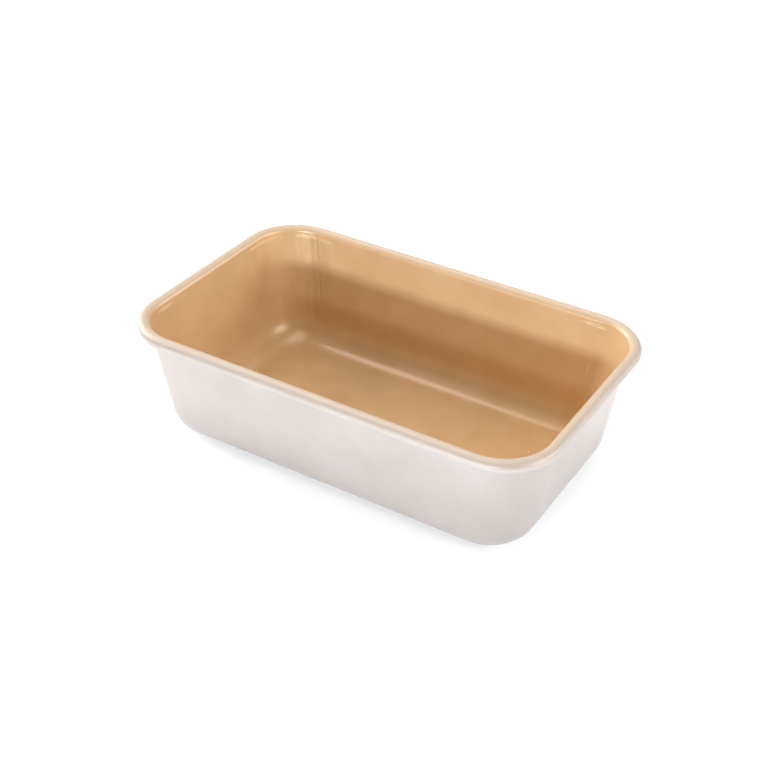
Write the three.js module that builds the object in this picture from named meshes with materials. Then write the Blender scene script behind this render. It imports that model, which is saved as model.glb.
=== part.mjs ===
// A bakery loaf pan: one drawn aluminium shell whose top edge is rolled outwards over a steel wire,
// with a gold nonstick film inside and over the top of the rolled rim.
// Millimetres, +Z up. The origin is the centre of the underside, and X runs along the pan.
import * as THREE from "three";

// Driving dimensions. The rim's line is the centre line of its wire.
const HEIGHT = 74;
const RIM_LINE_LENGTH = 252.5;
const RIM_LINE_WIDTH = 155;
const RIM_LINE_CORNER_RADIUS = 30.3;
const RIM_RADIUS = 3.75;
const WALL_DRAFT = THREE.MathUtils.degToRad(6.9);
const BASE_EDGE_RADIUS = 18;
const BASE_CORNER_RADIUS = 28.4;
const SHEET = 0.9;
const WIRE_RADIUS = 2.25;
const WIRE_BUTT_GAP = 1.2;

// The film is drawn thicker than real, and clear of the sheet, so that it is a solid of its own.
const FILM = 0.2;
const FILM_CLEARANCE = 0.1;

// Where the rolled edge and the film end, as angles round the wire: 0 points outwards, 90 points up.
const CURL_END = THREE.MathUtils.degToRad(-135);
const FILM_END = THREE.MathUtils.degToRad(30);

// How finely the round stretches are divided.
const CORNER_STEPS = 10;
const BASE_EDGE_STEPS = 9;
const CURL_OUTSIDE_STEPS = 20;
const CURL_INSIDE_STEPS = 14;
const FILM_STEPS = 11;
const WIRE_STEPS = 12;

// Worked out from the above. Depths are measured from the film's bare face towards the outside of the pan.
const FILM_BACK = FILM;
const SHEET_FACE = FILM + FILM_CLEARANCE;
const SHEET_BACK = SHEET_FACE + SHEET;
const RIM_CENTRE_Z = HEIGHT - RIM_RADIUS;
const CURL_START = Math.PI - WALL_DRAFT;
const BASE_EDGE_OUT =
  ((BASE_EDGE_RADIUS - RIM_CENTRE_Z) * Math.sin(WALL_DRAFT) - RIM_RADIUS - BASE_EDGE_RADIUS + SHEET_BACK) /
  Math.cos(WALL_DRAFT);
const BASE_EDGE_CORNER = BASE_CORNER_RADIUS - BASE_EDGE_RADIUS;

// A point of the pan's section: how far out of the rim's line it is, its height, and the radius that the
// pan's corners have there in plan.
const sectionPoint = (out, z, corner) => ({ out, z, corner });

// The rolled rim at a depth, from one angle to another.
function rimArc(depth, from, to, steps) {
  const radius = RIM_RADIUS - depth;
  return Array.from({ length: steps + 1 }, (_, i) => {
    const angle = THREE.MathUtils.lerp(from, to, i / steps);
    const out = radius * Math.cos(angle);
    return sectionPoint(out, RIM_CENTRE_Z + radius * Math.sin(angle), RIM_LINE_CORNER_RADIUS + out);
  });
}

// The rounded edge between floor and wall at a depth, from the floor up to the foot of the wall.
function baseEdgeArc(depth) {
  const radius = BASE_EDGE_RADIUS - SHEET_BACK + depth;
  return Array.from({ length: BASE_EDGE_STEPS + 1 }, (_, i) => {
    const angle = THREE.MathUtils.lerp(-Math.PI / 2, -WALL_DRAFT, i / BASE_EDGE_STEPS);
    const out = radius * Math.cos(angle);
    const z = BASE_EDGE_RADIUS + radius * Math.sin(angle);
    return sectionPoint(BASE_EDGE_OUT + out, z, BASE_EDGE_CORNER + out);
  });
}

// The pan's outline in plan at a section point: a rounded rectangle, counter-clockwise from above.
function outline({ out, z, corner }) {
  const centreX = RIM_LINE_LENGTH / 2 + out - corner;
  const centreY = RIM_LINE_WIDTH / 2 + out - corner;
  const corners = [
    [1, 1],
    [-1, 1],
    [-1, -1],
    [1, -1],
  ];
  return corners.flatMap(([sideX, sideY], quarter) =>
    Array.from({ length: CORNER_STEPS + 1 }, (_, i) => {
      const angle = (Math.PI / 2) * (quarter + i / CORNER_STEPS);
      return new THREE.Vector3(
        sideX * centreX + corner * Math.cos(angle),
        sideY * centreY + corner * Math.sin(angle),
        z,
      );
    }),
  );
}

// A closed solid through a row of convex rings with the same number of points, capped at both ends. Each
// ring runs counter-clockwise as seen from the ring after it.
function loft(rings) {
  const count = rings[0].length;
  const last = rings.length - 1;
  const index = [];
  for (let ring = 0; ring < last; ring++) {
    for (let i = 0; i < count; i++) {
      const here = ring * count + i;
      const beside = ring * count + ((i + 1) % count);
      index.push(here, beside, beside + count, here, beside + count, here + count);
    }
  }
  for (let i = 1; i < count - 1; i++) {
    index.push(0, i + 1, i);
    index.push(last * count, last * count + i, last * count + i + 1);
  }
  return new THREE.BufferGeometry().setFromPoints(rings.flat()).setIndex(index);
}

// The drawn shell: up the outside, round inside the curl to its edge, back over the curl and down the inside.
function panShell() {
  const section = [
    ...baseEdgeArc(SHEET_BACK),
    ...rimArc(SHEET_BACK, CURL_START, CURL_END, CURL_INSIDE_STEPS),
    ...rimArc(SHEET_FACE, CURL_END, CURL_START, CURL_OUTSIDE_STEPS),
    ...baseEdgeArc(SHEET_FACE).reverse(),
  ];
  return loft(section.map(outline));
}

// The film: its back follows the shell's inside and the top of the curl, and its bare face comes back.
function nonstickFilm() {
  const section = [
    ...baseEdgeArc(FILM_BACK),
    ...rimArc(FILM_BACK, CURL_START, FILM_END, FILM_STEPS),
    ...rimArc(0, FILM_END, CURL_START, FILM_STEPS),
    ...baseEdgeArc(0).reverse(),
  ];
  return loft(section.map(outline));
}

// The wire bent to the rim's line. Its two ends meet, a little apart, in the middle of the back.
function rimWire() {
  const line = outline(sectionPoint(0, RIM_CENTRE_Z, RIM_LINE_CORNER_RADIUS));
  const back = RIM_LINE_WIDTH / 2;
  const start = new THREE.Vector3(-WIRE_BUTT_GAP / 2, back, RIM_CENTRE_Z);
  const end = new THREE.Vector3(WIRE_BUTT_GAP / 2, back, RIM_CENTRE_Z);
  const firstCorner = CORNER_STEPS + 1;
  const path = [start, ...line.slice(firstCorner), ...line.slice(0, firstCorner), end];
  const up = new THREE.Vector3(0, 0, 1);
  const rings = path.map((point, i) => {
    const before = path[Math.max(i - 1, 0)];
    const after = path[Math.min(i + 1, path.length - 1)];
    const outwards = new THREE.Vector3().subVectors(after, before).normalize().cross(up);
    return Array.from({ length: WIRE_STEPS }, (_, k) => {
      const angle = (2 * Math.PI * k) / WIRE_STEPS;
      return point
        .clone()
        .addScaledVector(up, WIRE_RADIUS * Math.cos(angle))
        .addScaledVector(outwards, WIRE_RADIUS * Math.sin(angle));
    });
  });
  return loft(rings);
}

function namedMesh(name, geometry, colour, roughness, metalness) {
  const mesh = new THREE.Mesh(geometry, new THREE.MeshStandardMaterial({ color: colour, roughness, metalness }));
  mesh.name = name;
  return mesh;
}

const loafPan = new THREE.Group();
loafPan.add(
  namedMesh("pan_shell", panShell(), 0xe6e0dc, 0.38, 0.9),
  namedMesh("rim_wire", rimWire(), 0x9a9da0, 0.45, 0.9),
  namedMesh("nonstick_film", nonstickFilm(), 0xc9955c, 0.35, 0.3),
);

export default loafPan;
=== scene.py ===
# A bakery loaf pan in a plain white studio: a drawn aluminium shell with a rolled, wired rim, and a gold
# nonstick film inside it that reaches over the top of the rim. Metres, in the CAD frame.
import math

import bpy
from mathutils import Matrix, Vector, noise


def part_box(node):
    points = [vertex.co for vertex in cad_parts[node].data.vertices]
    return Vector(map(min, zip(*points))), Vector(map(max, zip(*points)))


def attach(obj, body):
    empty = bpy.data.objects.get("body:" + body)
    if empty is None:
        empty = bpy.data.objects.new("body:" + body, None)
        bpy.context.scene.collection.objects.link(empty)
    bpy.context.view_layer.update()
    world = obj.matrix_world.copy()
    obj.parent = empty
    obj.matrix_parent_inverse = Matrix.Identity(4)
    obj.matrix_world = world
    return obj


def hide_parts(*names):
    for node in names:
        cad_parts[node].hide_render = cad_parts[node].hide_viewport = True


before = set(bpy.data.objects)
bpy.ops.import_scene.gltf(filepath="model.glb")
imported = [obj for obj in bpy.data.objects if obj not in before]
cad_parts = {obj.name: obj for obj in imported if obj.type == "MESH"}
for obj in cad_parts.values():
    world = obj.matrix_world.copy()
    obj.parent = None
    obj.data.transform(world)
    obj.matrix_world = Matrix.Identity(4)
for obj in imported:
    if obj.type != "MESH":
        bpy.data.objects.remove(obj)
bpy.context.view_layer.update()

MM = 0.001
BODY = "root"

# The frame's own sizes. The rim's line is the centre line of its wire. Depths, here and below, are measured
# from the film's bare face towards the outside of the pan.
wire_low, wire_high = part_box("rim_wire")
film_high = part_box("nonstick_film")[1]
HEIGHT = film_high.z
WIRE_RADIUS = (wire_high.z - wire_low.z) / 2
RIM_LINE_LENGTH = wire_high.x - wire_low.x - 2 * WIRE_RADIUS
RIM_LINE_WIDTH = wire_high.y - wire_low.y - 2 * WIRE_RADIUS
RIM_CENTRE_Z = (wire_high.z + wire_low.z) / 2
RIM_RADIUS = HEIGHT - RIM_CENTRE_Z

# The sizes that the frame's boxes don't show. The film is thinner than the CAD's, and closer to the sheet.
RIM_LINE_CORNER_RADIUS = 30.3 * MM
WALL_DRAFT = math.radians(6.9)
BASE_EDGE_RADIUS = 18 * MM
BASE_CORNER_RADIUS = 28.4 * MM
FILM_BACK = 0.05 * MM
SHEET_FACE = 0.07 * MM
SHEET_BACK = 1.2 * MM
WIRE_BUTT_GAP = 1.2 * MM

# Where the rolled edge and the film end, as angles round the wire: 0 points outwards, 90 points up.
CURL_END = math.radians(-135)
FILM_END = math.radians(30)

# The small blister in the film: its foot's centre, its sizes, and how deep its foot is set in.
BLISTER_PLACE = Vector((79.5 * MM, 30 * MM, SHEET_BACK))
BLISTER_RADIUS = 1.5 * MM
BLISTER_HEIGHT = 0.45 * MM
BLISTER_SUNK = 0.03 * MM

# How far the walls bow and the rim waves off their true shape at most. The noise for each has about so many
# swells in a metre, and the bow's has so many up the pan's height. The wave's is taken from another part of
# the noise than the bow's.
BOW = 0.16 * MM
BOW_SWELLS = 14
BOW_SWELLS_UP = 1.2
WAVE = 0.05 * MM
WAVE_SWELLS = 45
WAVE_SHIFT = 7
WAVE_LAYER = 3

# How far before a round corner its share begins, and over what stretch it grows to 1, as parts of the
# corner's radius.
CORNER_LEAD = 0.55
CORNER_RAMP = 0.9

# How finely the round and the straight stretches are divided.
CORNER_STEPS = 26
LONG_SIDE_STEPS = 28
SHORT_SIDE_STEPS = 16
BASE_EDGE_STEPS = 14
WALL_STEPS = 14
BEAD_STEPS = 34
CURL_INSIDE_STEPS = 22
SHEET_EDGE_STEPS = 6
WIRE_STEPS = 20
BLISTER_RINGS = 8
BLISTER_STEPS = 28

# The floor's rings, as parts of the way from the middle line out, and the least corner that they have, as a
# part of the floor's own corner.
FLOOR_RING_SHARES = (0.12, 0.3, 0.5, 0.68, 0.82, 0.92)
LEAST_FLOOR_CORNER = 0.1

# Worked out from the above.
CURL_START = math.pi - WALL_DRAFT
BASE_EDGE_OUT = (
    (BASE_EDGE_RADIUS - RIM_CENTRE_Z) * math.sin(WALL_DRAFT) - RIM_RADIUS - BASE_EDGE_RADIUS + SHEET_BACK
) / math.cos(WALL_DRAFT)
BASE_EDGE_CORNER = BASE_CORNER_RADIUS - BASE_EDGE_RADIUS


def lerp(a, b, t):
    """Between a and b, by a share t of the way."""
    return a + (b - a) * t


def smooth(t):
    """From 0 to 1 with a soft start and end, held outside them."""
    t = min(max(t, 0.0), 1.0)
    return t * t * (3 - 2 * t)


# ---- The pan's shape ----------------------------------------------------------------------------------


class Section:
    """A point of the pan's section: how far out of the rim's line it is, its height, the corner radius that
    the pan has there in plan, and the angle round the rim's wire, or None away from the rim."""

    def __init__(self, out, z, corner, angle=None):
        self.out = out
        self.z = z
        self.corner = corner
        self.angle = angle


def floor_rings(depth):
    """From near the middle of the floor out to its rounded edge, at a depth."""
    reach = RIM_LINE_WIDTH / 2 + BASE_EDGE_OUT
    z = SHEET_BACK - depth
    rings = []
    for share in FLOOR_RING_SHARES:
        inset = reach * (1 - share)
        corner = max(BASE_EDGE_CORNER - inset, BASE_EDGE_CORNER * LEAST_FLOOR_CORNER)
        rings.append(Section(BASE_EDGE_OUT - inset, z, corner))
    return rings


def base_edge_arc(depth):
    """The rounded edge between floor and wall at a depth, from the floor up to the foot of the wall."""
    radius = BASE_EDGE_RADIUS - SHEET_BACK + depth
    points = []
    for i in range(BASE_EDGE_STEPS + 1):
        angle = lerp(-math.pi / 2, -WALL_DRAFT, i / BASE_EDGE_STEPS)
        out = radius * math.cos(angle)
        z = BASE_EDGE_RADIUS + radius * math.sin(angle)
        points.append(Section(BASE_EDGE_OUT + out, z, BASE_EDGE_CORNER + out))
    return points


def rim_arc(depth, start, end, steps):
    """The rolled rim at a depth, from one angle to another: 0 points outwards, 90 degrees points up."""
    radius = RIM_RADIUS - depth
    points = []
    for i in range(steps + 1):
        angle = lerp(start, end, i / steps)
        out = radius * math.cos(angle)
        z = RIM_CENTRE_Z + radius * math.sin(angle)
        points.append(Section(out, z, RIM_LINE_CORNER_RADIUS + out, angle))
    return points


def wall(foot, top):
    """The points between the foot and the top of the wall."""
    points = []
    for i in range(1, WALL_STEPS):
        t = i / WALL_STEPS
        out = lerp(foot.out, top.out, t)
        corner = lerp(foot.corner, top.corner, t)
        points.append(Section(out, lerp(foot.z, top.z, t), corner))
    return points


def sheet_edge():
    """The rounded edge at the end of the curl, from its inside to its outside."""
    middle = RIM_RADIUS - (SHEET_BACK + SHEET_FACE) / 2
    half = (SHEET_BACK - SHEET_FACE) / 2
    points = []
    for i in range(1, SHEET_EDGE_STEPS):
        turn = math.pi * i / SHEET_EDGE_STEPS
        along = -half * math.sin(turn)
        radius = middle - half * math.cos(turn)
        out = radius * math.cos(CURL_END) - along * math.sin(CURL_END)
        z = RIM_CENTRE_Z + radius * math.sin(CURL_END) + along * math.cos(CURL_END)
        points.append(Section(out, z, RIM_LINE_CORNER_RADIUS + out, CURL_END))
    return points


def inside_section(depth, end):
    """From the middle of the floor up the inside and over the rim to an angle, at a depth."""
    base = base_edge_arc(depth)
    rim = rim_arc(depth, CURL_START, end, BEAD_STEPS)
    return floor_rings(depth) + base + wall(base[-1], rim[0]) + rim


def outline(section):
    """The pan's outline in plan at a section point, counter-clockwise from above, as pairs of a point and
    the direction that faces outwards there."""
    centre_x = RIM_LINE_LENGTH / 2 + section.out - section.corner
    centre_y = RIM_LINE_WIDTH / 2 + section.out - section.corner
    points = []
    for quarter, (side_x, side_y) in enumerate(((1, 1), (-1, 1), (-1, -1), (1, -1))):
        centre = Vector((side_x * centre_x, side_y * centre_y, 0))
        for i in range(CORNER_STEPS + 1):
            angle = math.pi / 2 * (quarter + i / CORNER_STEPS)
            facing = Vector((math.cos(angle), math.sin(angle), 0))
            points.append((centre + section.corner * facing, facing))
        if quarter % 2 == 0:
            steps = LONG_SIDE_STEPS
            side = Vector((-2 * centre_x * side_x, 0, 0))
        else:
            steps = SHORT_SIDE_STEPS
            side = Vector((0, -2 * centre_y * side_y, 0))
        start = points[-1][0]
        points += [(start + side * (i / steps), facing) for i in range(1, steps)]
    return points


RIM_OUTLINE = outline(Section(0, 0, RIM_LINE_CORNER_RADIUS))


def corner_share(place):
    """How much of a round corner a place on the rim's line has: 1 in its middle, 0 well along the sides."""
    run_x = abs(place.x) - (RIM_LINE_LENGTH / 2 - RIM_LINE_CORNER_RADIUS)
    run_y = abs(place.y) - (RIM_LINE_WIDTH / 2 - RIM_LINE_CORNER_RADIUS)
    lead = RIM_LINE_CORNER_RADIUS * CORNER_LEAD
    return smooth((min(run_x, run_y) + lead) / (RIM_LINE_CORNER_RADIUS * CORNER_RAMP))


def unevenness(place, section):
    """How far a drawn and rolled sheet stands off its true shape here: walls that bow between floor and rim
    and between the corners, and a rim that waves."""
    height = section.z / HEIGHT
    bow = noise.noise(Vector((place.x * BOW_SWELLS, place.y * BOW_SWELLS, height * BOW_SWELLS_UP)))
    wave = noise.noise(Vector((place.x * WAVE_SWELLS + WAVE_SHIFT, place.y * WAVE_SWELLS, WAVE_LAYER)))
    free = (1 - corner_share(place)) * math.sin(math.pi * min(max(height, 0), 1))
    return bow * BOW * free + wave * WAVE * smooth(height * 2 - 1)


def loft(name, sections):
    """A closed mesh through the outlines of a row of section points, capped at both ends. Each point keeps
    its place on the rim's line, its share of a round corner, its height and its angle round the rim, which
    is half a turn away from the rim."""
    vertices, places, corners, heights, angles = [], [], [], [], []
    for section in sections:
        for (point, facing), (place, _) in zip(outline(section), RIM_OUTLINE):
            vertices.append(point + facing * unevenness(place, section) + Vector((0, 0, section.z)))
            places.append(place)
            corners.append(corner_share(place))
            heights.append(section.z)
            angles.append(math.pi if section.angle is None else section.angle)
    piece = mesh_object(name, vertices, tube_faces(len(sections), len(RIM_OUTLINE)))
    mark_points(piece, places, corners, heights, angles)
    return piece


def tube_faces(rings, count):
    """The faces of a closed tube of rings with the same number of points, capped at both ends. Each ring
    runs counter-clockwise as seen from the ring after it."""
    faces = []
    for ring in range(rings - 1):
        for i in range(count):
            here = ring * count + i
            beside = ring * count + (i + 1) % count
            faces.append((here, beside, beside + count, here + count))
    faces.append(tuple(reversed(range(count))))
    faces.append(tuple(range((rings - 1) * count, rings * count)))
    return faces


def mesh_object(name, vertices, faces):
    """A smooth mesh in the scene."""
    mesh = bpy.data.meshes.new(name)
    mesh.from_pydata(vertices, [], faces)
    mesh.shade_smooth()
    made = bpy.data.objects.new(name, mesh)
    bpy.context.scene.collection.objects.link(made)
    return made


def mark_points(piece, places, corners, heights, angles):
    """Gives a mesh's points the numbers that the materials read."""
    attributes = piece.data.attributes
    flat_places = [value for place in places for value in place]
    attributes.new("place", "FLOAT_VECTOR", "POINT").data.foreach_set("vector", flat_places)
    for key, values in (("corner", corners), ("height", heights), ("angle", angles)):
        attributes.new(key, "FLOAT", "POINT").data.foreach_set("value", values)


def make_shell():
    """Up the outside, round inside the curl to its edge, back over the curl and down the inside."""
    outside = base_edge_arc(SHEET_BACK)
    curl_inside = rim_arc(SHEET_BACK, CURL_START, CURL_END, CURL_INSIDE_STEPS)
    inside = inside_section(SHEET_FACE, CURL_END)
    sections = floor_rings(SHEET_BACK) + outside + wall(outside[-1], curl_inside[0])
    sections += curl_inside + sheet_edge() + inside[::-1]
    return loft("aluminium_shell", sections)


def make_film():
    """Its back follows the shell's inside and the top of the curl, and its bare face comes back."""
    back = inside_section(FILM_BACK, FILM_END)
    face = inside_section(0, FILM_END)
    return loft("gold_film", back + face[::-1])


def make_wire():
    """The wire bent to the rim's line. Its two ends meet, a little apart, in the middle of the back."""
    line = [point + Vector((0, 0, RIM_CENTRE_Z)) for point, _ in RIM_OUTLINE]
    middle_back = CORNER_STEPS + LONG_SIDE_STEPS // 2
    path = line[middle_back:] + line[: middle_back + 1]
    path[0] = path[0] - Vector((WIRE_BUTT_GAP / 2, 0, 0))
    path[-1] = path[-1] + Vector((WIRE_BUTT_GAP / 2, 0, 0))
    up = Vector((0, 0, 1))
    vertices = []
    for i, point in enumerate(path):
        along = (path[min(i + 1, len(path) - 1)] - path[max(i - 1, 0)]).normalized()
        outwards = along.cross(up)
        for k in range(WIRE_STEPS):
            angle = 2 * math.pi * k / WIRE_STEPS
            vertices.append(point + WIRE_RADIUS * (up * math.cos(angle) + outwards * math.sin(angle)))
    return mesh_object("wire_loop", vertices, tube_faces(len(path), WIRE_STEPS))


def make_blister():
    """A low round blister in the film, near the right end of the floor, from its top out to its foot."""
    vertices = [BLISTER_PLACE + Vector((0, 0, BLISTER_HEIGHT - BLISTER_SUNK))]
    for ring in range(1, BLISTER_RINGS + 1):
        out = ring / BLISTER_RINGS
        reach = out * BLISTER_RADIUS
        rise = BLISTER_HEIGHT * (1 - smooth(out)) - BLISTER_SUNK
        for i in range(BLISTER_STEPS):
            turn = 2 * math.pi * i / BLISTER_STEPS
            vertices.append(BLISTER_PLACE + Vector((math.cos(turn) * reach, math.sin(turn) * reach, rise)))
    faces = [(0, 1 + i, 1 + (i + 1) % BLISTER_STEPS) for i in range(BLISTER_STEPS)]
    for ring in range(BLISTER_RINGS - 1):
        for i in range(BLISTER_STEPS):
            here = 1 + ring * BLISTER_STEPS + i
            beside = 1 + ring * BLISTER_STEPS + (i + 1) % BLISTER_STEPS
            faces.append((here, here + BLISTER_STEPS, beside + BLISTER_STEPS, beside))
    count = len(vertices)
    faces.append(tuple(reversed(range(count - BLISTER_STEPS, count))))
    piece = mesh_object("floor_blister", vertices, faces)
    mark_points(piece, vertices, [0] * count, [vertex.z for vertex in vertices], [math.pi] * count)
    return piece


# ---- Materials ----------------------------------------------------------------------------------------


class Nodes:
    """A material with a Principled shader, and short ways to add and join nodes."""

    def __init__(self, name):
        self.material = bpy.data.materials.new(name)
        self.material.use_nodes = True
        self.tree = self.material.node_tree
        self.shader = self.tree.nodes["Principled BSDF"]

    def join(self, source, target):
        """Sets a socket to a number or a colour, or links it to another node's output."""
        if isinstance(source, (int, float, tuple)):
            target.default_value = source
        else:
            self.tree.links.new(source, target)

    def attribute(self, name, output="Fac"):
        node = self.tree.nodes.new("ShaderNodeAttribute")
        node.attribute_name = name
        return node.outputs[output]

    def place(self):
        """Where the surface is, in metres in the piece's own frame."""
        return self.tree.nodes.new("ShaderNodeTexCoord").outputs["Object"]

    def place_on_rim(self):
        """The nearest place on the rim's line, the same all the way up a wall."""
        return self.attribute("place", "Vector")

    def stretch(self, vector, x, y, z):
        """The vector with each part scaled."""
        node = self.tree.nodes.new("ShaderNodeVectorMath")
        node.operation = "MULTIPLY"
        self.join(vector, node.inputs[0])
        node.inputs[1].default_value = (x, y, z)
        return node.outputs[0]

    def length(self, vector):
        """How long a vector is."""
        node = self.tree.nodes.new("ShaderNodeVectorMath")
        node.operation = "LENGTH"
        self.join(vector, node.inputs[0])
        return node.outputs["Value"]

    def combine(self, vector, z):
        """The vector's x and y, with another z."""
        split = self.tree.nodes.new("ShaderNodeSeparateXYZ")
        self.join(vector, split.inputs[0])
        node = self.tree.nodes.new("ShaderNodeCombineXYZ")
        self.join(split.outputs[0], node.inputs[0])
        self.join(split.outputs[1], node.inputs[1])
        self.join(z, node.inputs[2])
        return node.outputs[0]

    def noise(self, vector, scale, detail=2.0, roughness=0.5):
        """Soft noise from 0 to 1, with about this many swells in a metre."""
        node = self.tree.nodes.new("ShaderNodeTexNoise")
        self.join(vector, node.inputs["Vector"])
        node.inputs["Scale"].default_value = scale
        node.inputs["Detail"].default_value = detail
        node.inputs["Roughness"].default_value = roughness
        return node.outputs["Fac"]

    def spread(self, value, low, high, to_low=0.0, to_high=1.0, soft=False):
        """Maps a value from one range to another, held within it."""
        node = self.tree.nodes.new("ShaderNodeMapRange")
        node.interpolation_type = "SMOOTHSTEP" if soft else "LINEAR"
        for key, number in zip(("From Min", "From Max", "To Min", "To Max"), (low, high, to_low, to_high)):
            node.inputs[key].default_value = number
        self.join(value, node.inputs["Value"])
        return node.outputs["Result"]

    def math(self, operation, a, b):
        """One sum with two values, which may be numbers or outputs."""
        node = self.tree.nodes.new("ShaderNodeMath")
        node.operation = operation
        self.join(a, node.inputs[0])
        self.join(b, node.inputs[1])
        return node.outputs[0]

    def mix(self, share, a, b):
        """A share of the way from one colour to another."""
        node = self.tree.nodes.new("ShaderNodeMix")
        node.data_type = "RGBA"
        colours = [s for s in node.inputs if s.type == "RGBA"]
        self.join(share, node.inputs["Factor"])
        self.join(a, colours[0])
        self.join(b, colours[1])
        return next(s for s in node.outputs if s.type == "RGBA")

    def bump(self, height, distance, strength=1.0, under=None):
        """A normal for a surface that rises by up to this distance, over another normal if there is one."""
        node = self.tree.nodes.new("ShaderNodeBump")
        node.inputs["Strength"].default_value = strength
        node.inputs["Distance"].default_value = distance
        self.join(height, node.inputs["Height"])
        if under is not None:
            self.join(under, node.inputs["Normal"])
        return node.outputs["Normal"]

    def set(self, **values):
        """Sets or links the shader's sockets, named with underscores for spaces."""
        for key, value in values.items():
            self.join(value, self.shader.inputs[key.replace("_", " ")])


# Colours, as linear red, green, blue and alpha.
GOLD_DEEP = (0.635, 0.405, 0.20, 1)
GOLD_LIGHT = (0.675, 0.435, 0.225, 1)
GOLD_THIN = (0.555, 0.44, 0.342, 1)
GOLD_EDGE = (0.525, 0.43, 0.36, 1)
SILVER = (0.615, 0.57, 0.55, 1)
SILVER_DULL = (0.57, 0.525, 0.50, 1)
STEEL_DARK = (0.38, 0.38, 0.385, 1)
STEEL_LIGHT = (0.52, 0.52, 0.525, 1)
WHITE = (1, 1, 1, 1)
FLOOR_GREY = (0.75, 0.75, 0.75, 1)

# Angles round the rim's wire, from where something starts to where it is full.
FILM_THINS = (math.radians(172), math.radians(88))
FILM_FADES = (math.radians(84), math.radians(31))
OVERSPRAY = (math.radians(-14), math.radians(30))
BEAD = (math.radians(175), math.radians(165))
OFF_RIM = (math.radians(174), math.radians(179))

# Heights between which the upright marks grow from nothing. Then by how much the noise shrinks the wall's
# height for the marks, and the way round the pan for the lines, so that they come out long.
MARKS_START = (6 * MM, 26 * MM)
MARK_STRETCH = 0.07
LINE_STRETCH = 0.035


def draw_marks(n):
    """Upright marks where the walls turn into the round corners: fine scratches and shallow folds."""
    share = n.attribute("corner")
    near_corner = n.spread(share, 0.02, 0.45, soft=True)
    off_middle = n.spread(share, 1.0, 0.72, 0.3, 1.0, soft=True)
    by_corner = n.math("MULTIPLY", near_corner, off_middle)
    on_wall = n.spread(n.attribute("height"), *MARKS_START, soft=True)
    off_rim = n.spread(n.attribute("angle"), *OFF_RIM, soft=True)
    mask = n.math("MULTIPLY", by_corner, n.math("MULTIPLY", on_wall, off_rim))
    upright = n.combine(n.place_on_rim(), n.math("MULTIPLY", n.attribute("height"), MARK_STRETCH))
    scratches = n.noise(upright, 700, detail=2, roughness=0.6)
    folds = n.noise(upright, 260, detail=1)
    return n.math("MULTIPLY", scratches, mask), n.math("MULTIPLY", folds, mask)


def gold_film_material():
    """Satin gold: fine orange peel, slow mottling, draw marks by the round corners, less gloss in them, and
    thin, dull and pale over the rim."""
    n = Nodes("gold_nonstick")
    place = n.place()
    mottle = n.noise(place, 60, detail=3)
    angle = n.attribute("angle")
    over_rim = n.spread(angle, *FILM_THINS, soft=True)
    at_edge = n.spread(angle, *FILM_FADES, soft=True)
    colour = n.mix(n.spread(mottle, 0.35, 0.65), GOLD_DEEP, GOLD_LIGHT)
    colour = n.mix(over_rim, colour, GOLD_THIN)
    colour = n.mix(at_edge, colour, GOLD_EDGE)
    roughness = n.math("ADD", n.spread(mottle, 0.3, 0.7, 0.37, 0.43), n.math("MULTIPLY", over_rim, 0.13))
    dull_corner = n.spread(n.attribute("corner"), 0.35, 1.0, 1.0, 0.45, soft=True)
    coat = n.math("MULTIPLY", n.spread(over_rim, 0, 1, 0.62, 0.06), dull_corner)
    swells = n.noise(place, 28, detail=1)
    peel = n.noise(place, 1500, detail=1)
    scratches, folds = draw_marks(n)
    normal = n.bump(swells, 1.6 * MM, 0.5)
    normal = n.bump(folds, 1.2 * MM, 0.9, under=normal)
    normal = n.bump(scratches, 0.3 * MM, 0.6, under=normal)
    normal = n.bump(peel, 0.03 * MM, 0.35, under=normal)
    n.set(
        Base_Color=colour,
        Metallic=n.spread(at_edge, 0, 1, 0.15, 0.4),
        Roughness=roughness,
        Normal=normal,
        Coat_Weight=coat,
        Coat_Roughness=0.16,
        Coat_IOR=1.5,
    )
    return n.material


def aluminium_material():
    """Bare drawn sheet: faint lines round the pan, soft blotches, draw marks by the round corners, a duller
    rim, and gold overspray below the film's edge."""
    n = Nodes("bare_aluminium")
    place = n.place()
    angle = n.attribute("angle")
    blotches = n.noise(place, 34, detail=4)
    line_place = n.combine(n.stretch(n.place_on_rim(), LINE_STRETCH, LINE_STRETCH, 1), n.attribute("height"))
    lines = n.noise(line_place, 900, detail=3, roughness=0.6)
    on_bead = n.spread(angle, *BEAD, soft=True)
    overspray = n.math("MULTIPLY", n.spread(angle, *OVERSPRAY, soft=True), on_bead)
    colour = n.mix(n.spread(blotches, 0.35, 0.65), SILVER_DULL, SILVER)
    colour = n.mix(overspray, colour, GOLD_EDGE)
    roughness = n.math("ADD", n.spread(blotches, 0.3, 0.7, 0.30, 0.40), n.math("MULTIPLY", on_bead, 0.17))
    swells = n.noise(place, 22, detail=1)
    grain = n.noise(place, 2600, detail=1)
    scratches, folds = draw_marks(n)
    normal = n.bump(swells, 1.6 * MM, 0.5)
    normal = n.bump(folds, 1.0 * MM, 0.7, under=normal)
    normal = n.bump(scratches, 0.2 * MM, 0.5, under=normal)
    normal = n.bump(lines, 0.06 * MM, 0.4, under=normal)
    normal = n.bump(grain, 0.02 * MM, 0.3, under=normal)
    n.set(
        Base_Color=colour,
        Metallic=n.spread(on_bead, 0, 1, 1.0, 0.55),
        Roughness=roughness,
        Normal=normal,
    )
    return n.material


def wire_material():
    """Drawn steel wire, slightly pitted and mottled."""
    n = Nodes("wire_steel")
    marks = n.noise(n.place(), 700, detail=3)
    n.set(
        Base_Color=n.mix(marks, STEEL_DARK, STEEL_LIGHT),
        Metallic=1.0,
        Roughness=n.spread(marks, 0.3, 0.7, 0.34, 0.5),
        Normal=n.bump(marks, 0.05 * MM, 0.4),
    )
    return n.material


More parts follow.
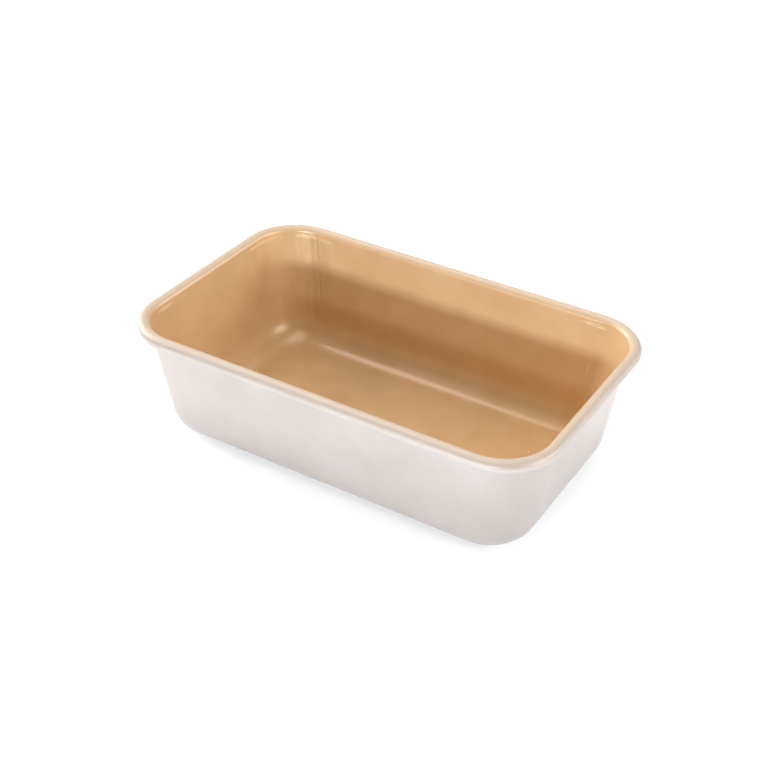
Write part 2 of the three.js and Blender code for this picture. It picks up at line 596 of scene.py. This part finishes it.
def finish_piece(piece, material, slot, *nodes):
    """Gives a piece its material and its body, and hides the CAD nodes that it stands for, if any. Its slot
    is not used.
    """
    piece.data.materials.append(material)
    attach(piece, BODY)
    if nodes:
        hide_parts(*nodes)


# ---- Studio -------------------------------------------------------------------------------------------

# The camera that was fitted to the outlines of the pan in the photo.
CAMERA_TARGET = Vector((18.37, -26.82, 53.88)) * MM
CAMERA_DISTANCE = 733.45 * MM
CAMERA_AZIMUTH = math.radians(30.603)
CAMERA_PITCH = math.radians(34.353)
CAMERA_ROLL = math.radians(1.31)
CAMERA_CLIP = (0.01, 100)
SENSOR_WIDTH_MM = 36
LENS_MM = 62.104


def make_camera():
    """The camera, at the photograph's viewing angle."""
    data = bpy.data.cameras.new("camera")
    data.sensor_width = SENSOR_WIDTH_MM
    data.lens = LENS_MM
    data.clip_start, data.clip_end = CAMERA_CLIP
    camera = bpy.data.objects.new("camera", data)
    bpy.context.scene.collection.objects.link(camera)
    back = Vector(
        (
            math.sin(CAMERA_AZIMUTH) * math.cos(CAMERA_PITCH),
            -math.cos(CAMERA_AZIMUTH) * math.cos(CAMERA_PITCH),
            math.sin(CAMERA_PITCH),
        )
    )
    right = Vector((0, 0, 1)).cross(back).normalized()
    up = back.cross(right)
    turn = Matrix.Rotation(CAMERA_ROLL, 3, back)
    axes = Matrix((turn @ right, turn @ up, back)).transposed()
    camera.matrix_world = Matrix.Translation(CAMERA_TARGET + back * CAMERA_DISTANCE) @ axes.to_4x4()
    bpy.context.scene.camera = camera


# The floor's glow grows between these two distances from the pan, so that it stays white far out, where
# little light reaches it.
FLOOR_RADIUS = 6.0
FLOOR_STEPS = 96
FLOOR_GLOW_NEAR = 0.38
FLOOR_GLOW_FAR = 1.0
FLOOR_GLOW_GROWS = (1.2, 2.8)


def make_floor():
    """A large round floor with a glow."""
    ring = []
    for i in range(FLOOR_STEPS):
        turn = 2 * math.pi * i / FLOOR_STEPS
        ring.append(Vector((math.cos(turn), math.sin(turn), 0)) * FLOOR_RADIUS)
    floor = mesh_object("studio_floor", ring, [tuple(range(FLOOR_STEPS))])
    n = Nodes("studio_floor")
    glow = n.spread(n.length(n.place()), *FLOOR_GLOW_GROWS, FLOOR_GLOW_NEAR, FLOOR_GLOW_FAR)
    n.set(
        Base_Color=FLOOR_GREY,
        Roughness=0.9,
        Specular_IOR_Level=0.0,
        Emission_Color=WHITE,
        Emission_Strength=glow,
    )
    floor.data.materials.append(n.material)


# The soft lights' distance from the pan, and their tints.
LIGHT_DISTANCE = 3.0
PLAIN = (1, 1, 1)
DAYLIGHT = (0.88, 1.0, 1.12)
WARM = (1.1, 0.97, 0.82)


def softbox(name, azimuth, elevation, width, height, level, tint=PLAIN):
    """A soft light that faces the pan. Its azimuth goes from the front (0) over the right (90) to the back
    (180), and its level is the light that reaches a surface at the pan that faces it."""
    turn, rise = math.radians(azimuth), math.radians(elevation)
    direction = Vector((math.sin(turn) * math.cos(rise), -math.cos(turn) * math.cos(rise), math.sin(rise)))
    data = bpy.data.lights.new(name, "AREA")
    data.shape = "RECTANGLE"
    data.size = width
    data.size_y = height
    data.energy = level * math.pi * LIGHT_DISTANCE**2
    data.color = tint
    light = bpy.data.objects.new(name, data)
    bpy.context.scene.collection.objects.link(light)
    light.location = direction * LIGHT_DISTANCE + Vector((0, 0, HEIGHT / 2))
    light.rotation_euler = direction.to_track_quat("Z", "Y").to_euler()
    light.visible_camera = False


# The backdrop is brightest in this direction, behind the pan, to its left and below the horizon, so that it
# fades upwards from the floor. Where it begins and where it is full are cosines of the angle from there.
BACKDROP_DIRECTION = (-0.583, 0.694, -0.423)
BACKDROP_EDGE = 0.45
BACKDROP_FULL = 0.8
BACKDROP_LEVEL = 1.5
WORLD_LEVEL = 0.02


def make_world():
    """A dim studio with a pale backdrop, and plain white where the camera sees it directly."""
    world = bpy.data.worlds.new("studio")
    bpy.context.scene.world = world
    world.use_nodes = True
    tree = world.node_tree
    direction = tree.nodes.new("ShaderNodeTexCoord").outputs["Generated"]
    towards = tree.nodes.new("ShaderNodeVectorMath")
    towards.operation = "DOT_PRODUCT"
    tree.links.new(direction, towards.inputs[0])
    towards.inputs[1].default_value = BACKDROP_DIRECTION
    level = tree.nodes.new("ShaderNodeMapRange")
    level.interpolation_type = "SMOOTHSTEP"
    ends = (BACKDROP_EDGE, BACKDROP_FULL, WORLD_LEVEL, BACKDROP_LEVEL)
    for key, number in zip(("From Min", "From Max", "To Min", "To Max"), ends):
        level.inputs[key].default_value = number
    tree.links.new(towards.outputs["Value"], level.inputs["Value"])
    strength = tree.nodes.new("ShaderNodeMath")
    strength.operation = "MAXIMUM"
    tree.links.new(level.outputs["Result"], strength.inputs[0])
    tree.links.new(tree.nodes.new("ShaderNodeLightPath").outputs["Is Camera Ray"], strength.inputs[1])
    background = tree.nodes["Background"]
    background.inputs["Color"].default_value = WHITE
    tree.links.new(strength.outputs[0], background.inputs["Strength"])


def make_lights():
    """The world, and soft lights worked out from the photo's reflections. Each has its azimuth and elevation
    in degrees, its width and height in metres, its level and its tint."""
    make_world()
    softbox("front_low_softbox", 2, 9.6, 1.3, 0.17, 1.9, DAYLIGHT)
    softbox("front_high_softbox", 0, 18, 1.2, 0.12, 0.43, DAYLIGHT)
    softbox("right_low_softbox", 90, 8, 1.6, 0.4, 0.5)
    softbox("right_high_softbox", 90, 27, 1.6, 1.2, 1.1)
    softbox("right_back_softbox", 125, 20, 1.6, 1.0, 1.0, DAYLIGHT)
    softbox("left_softbox", 270, 26, 1.8, 1.5, 2.85)
    softbox("back_softbox", 180, 44, 1.8, 1.2, 0.55, WARM)
    softbox("top_softbox", 150, 84, 1.5, 1.5, 0.6)
    softbox("top_left_softbox", 239, 60, 1.7, 1.1, 0.78)
    softbox("top_front_softbox", 20, 68, 1.4, 1.0, 0.38, WARM)


def main():
    scene = bpy.context.scene
    scene.view_settings.view_transform = "Standard"
    make_camera()
    make_floor()
    make_lights()
    finish_piece(make_shell(), aluminium_material(), "bare_aluminium", "pan_shell")
    gold = gold_film_material()
    finish_piece(make_film(), gold, "gold_nonstick", "nonstick_film")
    finish_piece(make_blister(), gold, "gold_nonstick")
    finish_piece(make_wire(), wire_material(), "wire_steel", "rim_wire")


main()
